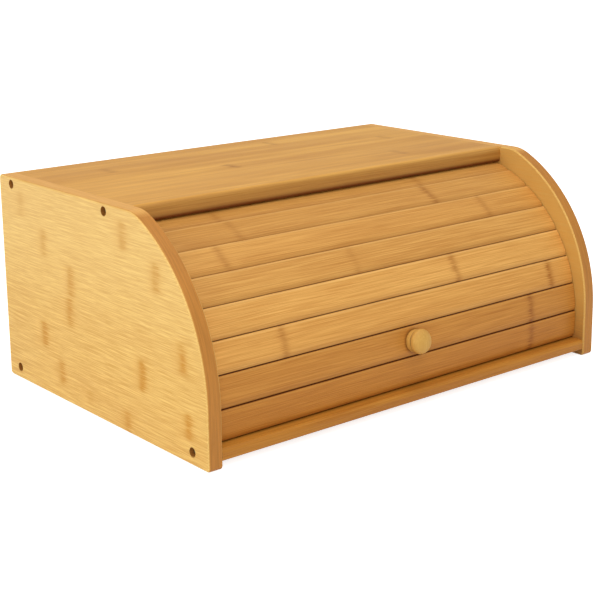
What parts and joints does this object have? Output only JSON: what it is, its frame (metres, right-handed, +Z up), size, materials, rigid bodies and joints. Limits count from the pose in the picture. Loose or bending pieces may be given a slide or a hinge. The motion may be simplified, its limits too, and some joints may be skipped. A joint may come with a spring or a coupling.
{
  "type": "roll-top bread box",
  "caption": "Bamboo bread box with a tambour door that rolls up and back in curved tracks under a flat top, opened by a round knob.",
  "frame": {"origin": "on the surface the box stands on, under the middle of its outer box", "axes": "+X to the right along the slats, +Y from the door to the back, +Z up"},
  "size_m": [0.4, 0.2827, 0.167],
  "materials": {
    "bamboo_panel": "clear satin lacquer",
    "bamboo_board": "clear satin lacquer",
    "bamboo_slat": "clear satin lacquer",
    "knob_wood": "clear satin lacquer",
    "cloth": "plain woven cotton",
    "screw_steel": "dark plated"
  },
  "bodies": {
    "case": {"left_side_panel": "bamboo_panel", "right_side_panel": "bamboo_panel", "top_board": "bamboo_board", "bottom_board": "bamboo_board", "back_panel": "bamboo_panel", "left_case_screws": "screw_steel", "right_case_screws": "screw_steel"},
    "roll_door": {"slat_1": "bamboo_slat", "slat_2": "bamboo_slat", "slat_3": "bamboo_slat", "slat_4": "bamboo_slat", "slat_5": "bamboo_slat", "slat_6": "bamboo_slat", "slat_7": "bamboo_slat", "slat_8": "bamboo_slat", "slat_9": "bamboo_slat", "backing_cloth": "cloth", "knob": "knob_wood", "knob_screw": "screw_steel"}
  },
  "joints": [
    {"name": "door_roll", "type": "hinge", "parent": "case", "child": "roll_door", "pos_m": [0, -0.0046, 0.0325], "axis": [-1, 0, 0], "range_deg": [0, 60]}
  ]
}
